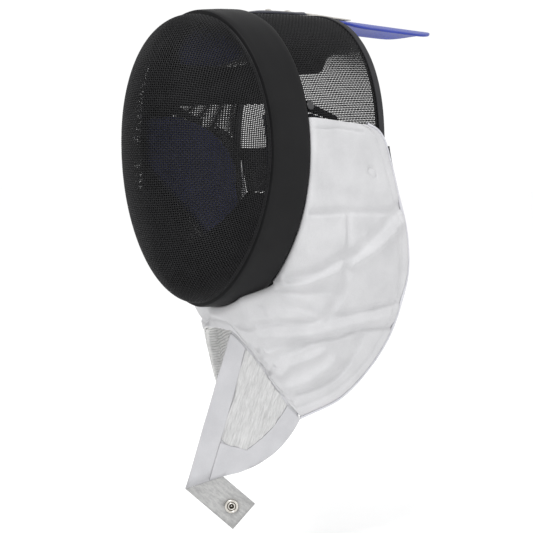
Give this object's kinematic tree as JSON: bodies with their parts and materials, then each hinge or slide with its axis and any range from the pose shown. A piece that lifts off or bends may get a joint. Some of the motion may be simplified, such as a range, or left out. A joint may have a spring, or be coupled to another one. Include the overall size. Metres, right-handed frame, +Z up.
{
  "type": "fencing mask",
  "caption": "Fencing mask with a domed black wire face, a padded rim band, a wire crown, a sprung tongue and a quilted white bib with a throat flap.",
  "frame": {"origin": "the spot under the crown pad where the wearer's head sits", "axes": "+Z up the wearer's head, -Y the way the face looks, +X the wearer's left"},
  "size_m": [0.2388, 0.4435, 0.5489],
  "materials": {
    "face_wire": "matt black powder coat",
    "crown_wire": "matt black powder coat",
    "band_vinyl": "smooth padded vinyl",
    "trim_vinyl": "matt vinyl",
    "bib_cloth": "white woven cotton, padded",
    "welt_cloth": "white corded edge",
    "lining_knit": "grey ribbed knit",
    "hem_cloth": "white hemmed cloth",
    "flap_knit": "light crinkled stretch knit",
    "tab_knit": "grey knit",
    "pad_blue": "blue brushed padding",
    "pad_black": "black brushed padding",
    "strap_elastic": "black woven elastic",
    "strap_vinyl": "dark blue vinyl",
    "tongue_vinyl": "blue vinyl",
    "spring_steel": "satin",
    "snap_steel": "nickel plated",
    "button_plastic": "matt"
  },
  "bodies": {
    "root": {"face_mesh": "face_wire", "side_mesh": "crown_wire", "rim_band": "band_vinyl", "rear_trim": "trim_vinyl", "bib": "bib_cloth", "bib_lining": "lining_knit", "bib_welt_left": "welt_cloth", "bib_welt_right": "welt_cloth", "flap_front_hem": "hem_cloth", "flap_panel": "flap_knit", "flap_lower_hem": "hem_cloth", "snap_tab": "tab_knit", "snap": "snap_steel", "crown_pad": "pad_black", "brow_pad": "pad_blue", "liner_left": "pad_blue", "liner_right": "pad_blue", "chin_pad": "pad_black", "brow_band": "pad_black", "side_panel_left": "pad_black", "side_panel_right": "pad_black", "head_strap": "strap_elastic", "tongue": "tongue_vinyl", "tongue_spring": "spring_steel", "spring_strap": "strap_vinyl", "rivet_1": "snap_steel", "rivet_2": "snap_steel", "button_left": "button_plastic", "button_right": "button_plastic"}
  },
  "joints": []
}
